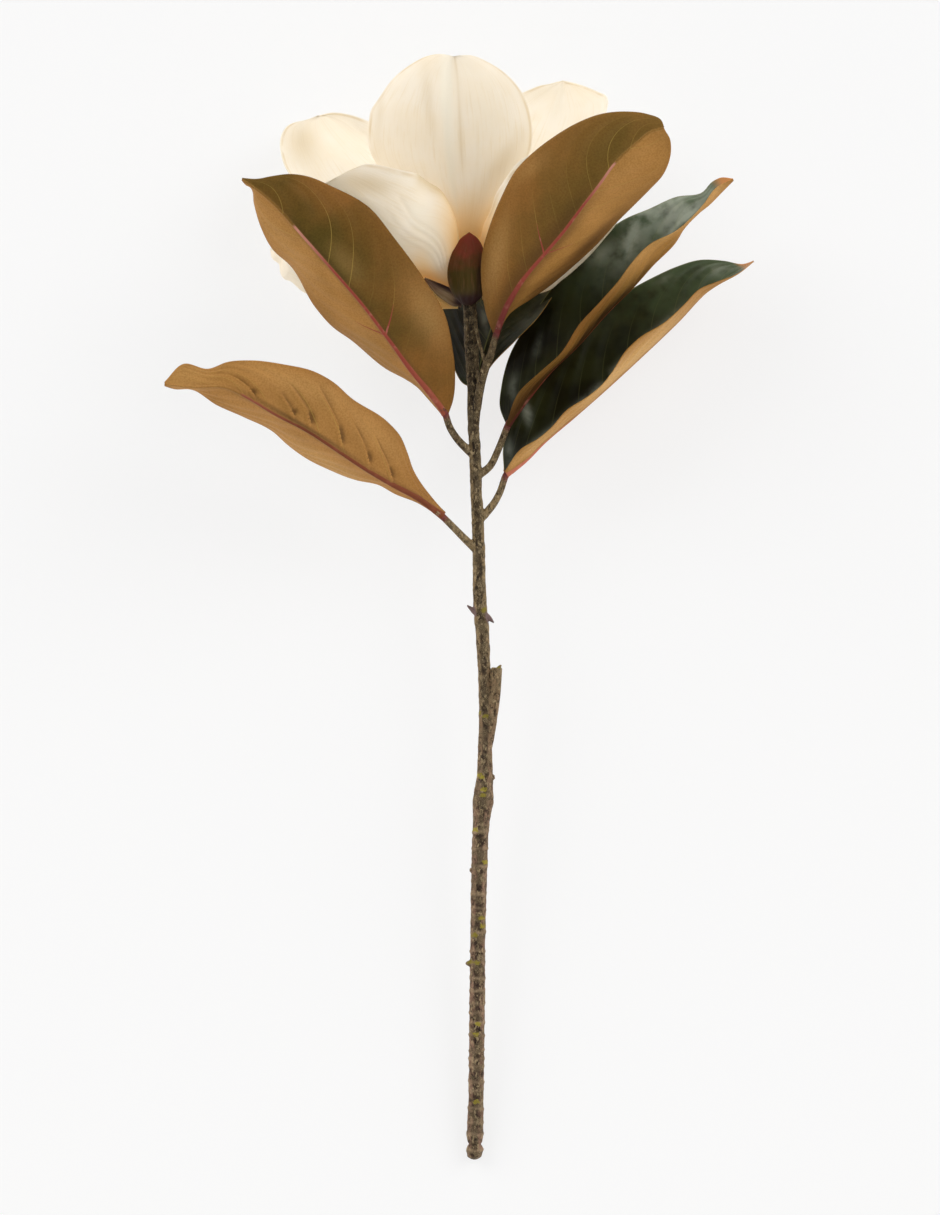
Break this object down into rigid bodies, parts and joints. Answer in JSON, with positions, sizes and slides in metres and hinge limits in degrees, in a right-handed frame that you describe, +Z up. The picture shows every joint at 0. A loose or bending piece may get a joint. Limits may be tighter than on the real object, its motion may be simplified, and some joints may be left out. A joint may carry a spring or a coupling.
{
  "type": "flower branch",
  "caption": "Cut magnolia branch with one open cream bloom and velvety brown-backed leaves, lying down.",
  "frame": {"origin": "middle of the footprint, on the surface the branch lies on", "axes": "+Z up from the surface, +Y along the stem from its cut end towards the bloom, +X to the right as seen from above with the bloom away from the viewer"},
  "size_m": [0.3966, 0.7388, 0.1894],
  "materials": {
    "bark": "rough",
    "leaf": "satin",
    "petal": "satin",
    "bract": "satin",
    "cone": "matte",
    "stamen": "matte"
  },
  "bodies": {
    "root": {"stem": "bark", "leaf_upper_left": "leaf", "leaf_lower_left": "leaf", "leaf_upper_right": "leaf", "leaf_middle_right": "leaf", "leaf_lower_right": "leaf", "leaf_back": "leaf", "petal_front": "petal", "petal_inner_left": "petal", "petal_inner_right": "petal", "petal_front_left": "petal", "petal_front_right": "petal", "petal_back_left": "petal", "petal_back_right": "petal", "petal_low_left": "petal", "petal_low_right": "petal", "petal_back": "petal", "bract_front": "bract", "bract_side": "bract", "flower_core": "cone", "stamens": "stamen"}
  },
  "joints": []
}
